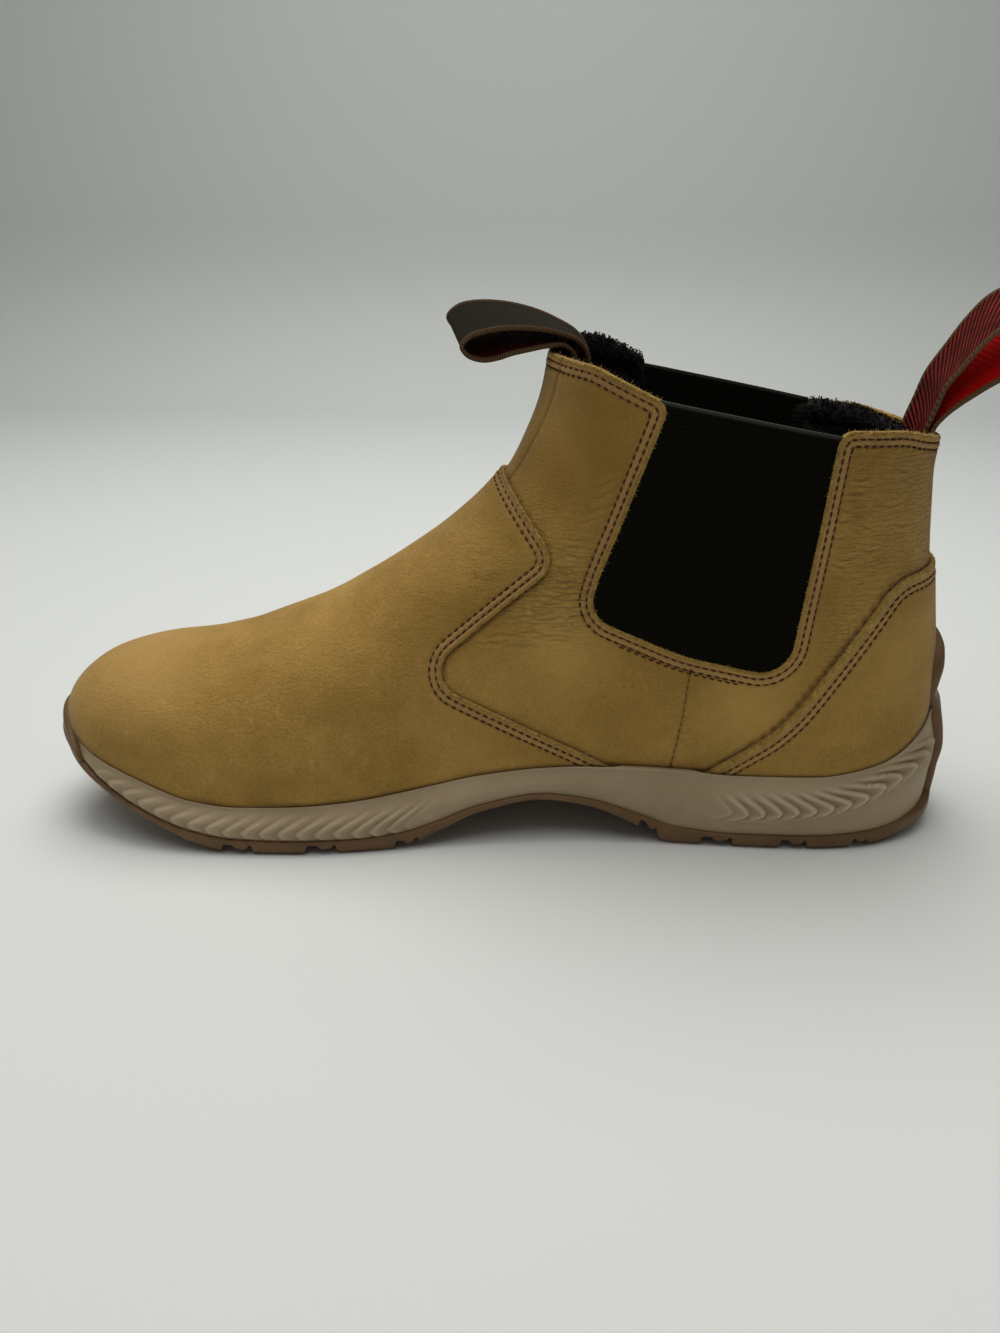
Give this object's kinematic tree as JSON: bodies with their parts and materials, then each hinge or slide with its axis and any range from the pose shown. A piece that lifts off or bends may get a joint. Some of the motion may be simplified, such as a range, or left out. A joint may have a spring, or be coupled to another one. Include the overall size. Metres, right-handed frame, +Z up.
{
  "type": "slip-on boot",
  "caption": "Ankle-high pull-on boot with nubuck upper, elastic side panels, webbing pull loops and a lugged rubber sole, for the right foot.",
  "frame": {"origin": "on the floor, under the middle of the boot's box", "axes": "+X towards the toe, +Y towards the inner (medial) side of the foot, +Z up"},
  "size_m": [0.3303, 0.1035, 0.1776],
  "materials": {
    "nubuck": "matt napped nubuck, wheat",
    "elastic": "black ribbed elastic",
    "midsole_foam": "matt moulded foam, taupe",
    "gum_rubber": "satin gum rubber, brown",
    "webbing": "twill webbing, charcoal and red",
    "footbed": "black cloth"
  },
  "bodies": {
    "root": {"outsole": "gum_rubber", "midsole": "midsole_foam", "insole": "footbed", "upper": "nubuck", "vamp": "nubuck", "heel_counter": "nubuck", "gusset_medial": "elastic", "gusset_lateral": "elastic", "pull_loop_front": "webbing", "pull_loop_rear": "webbing"}
  },
  "joints": []
}
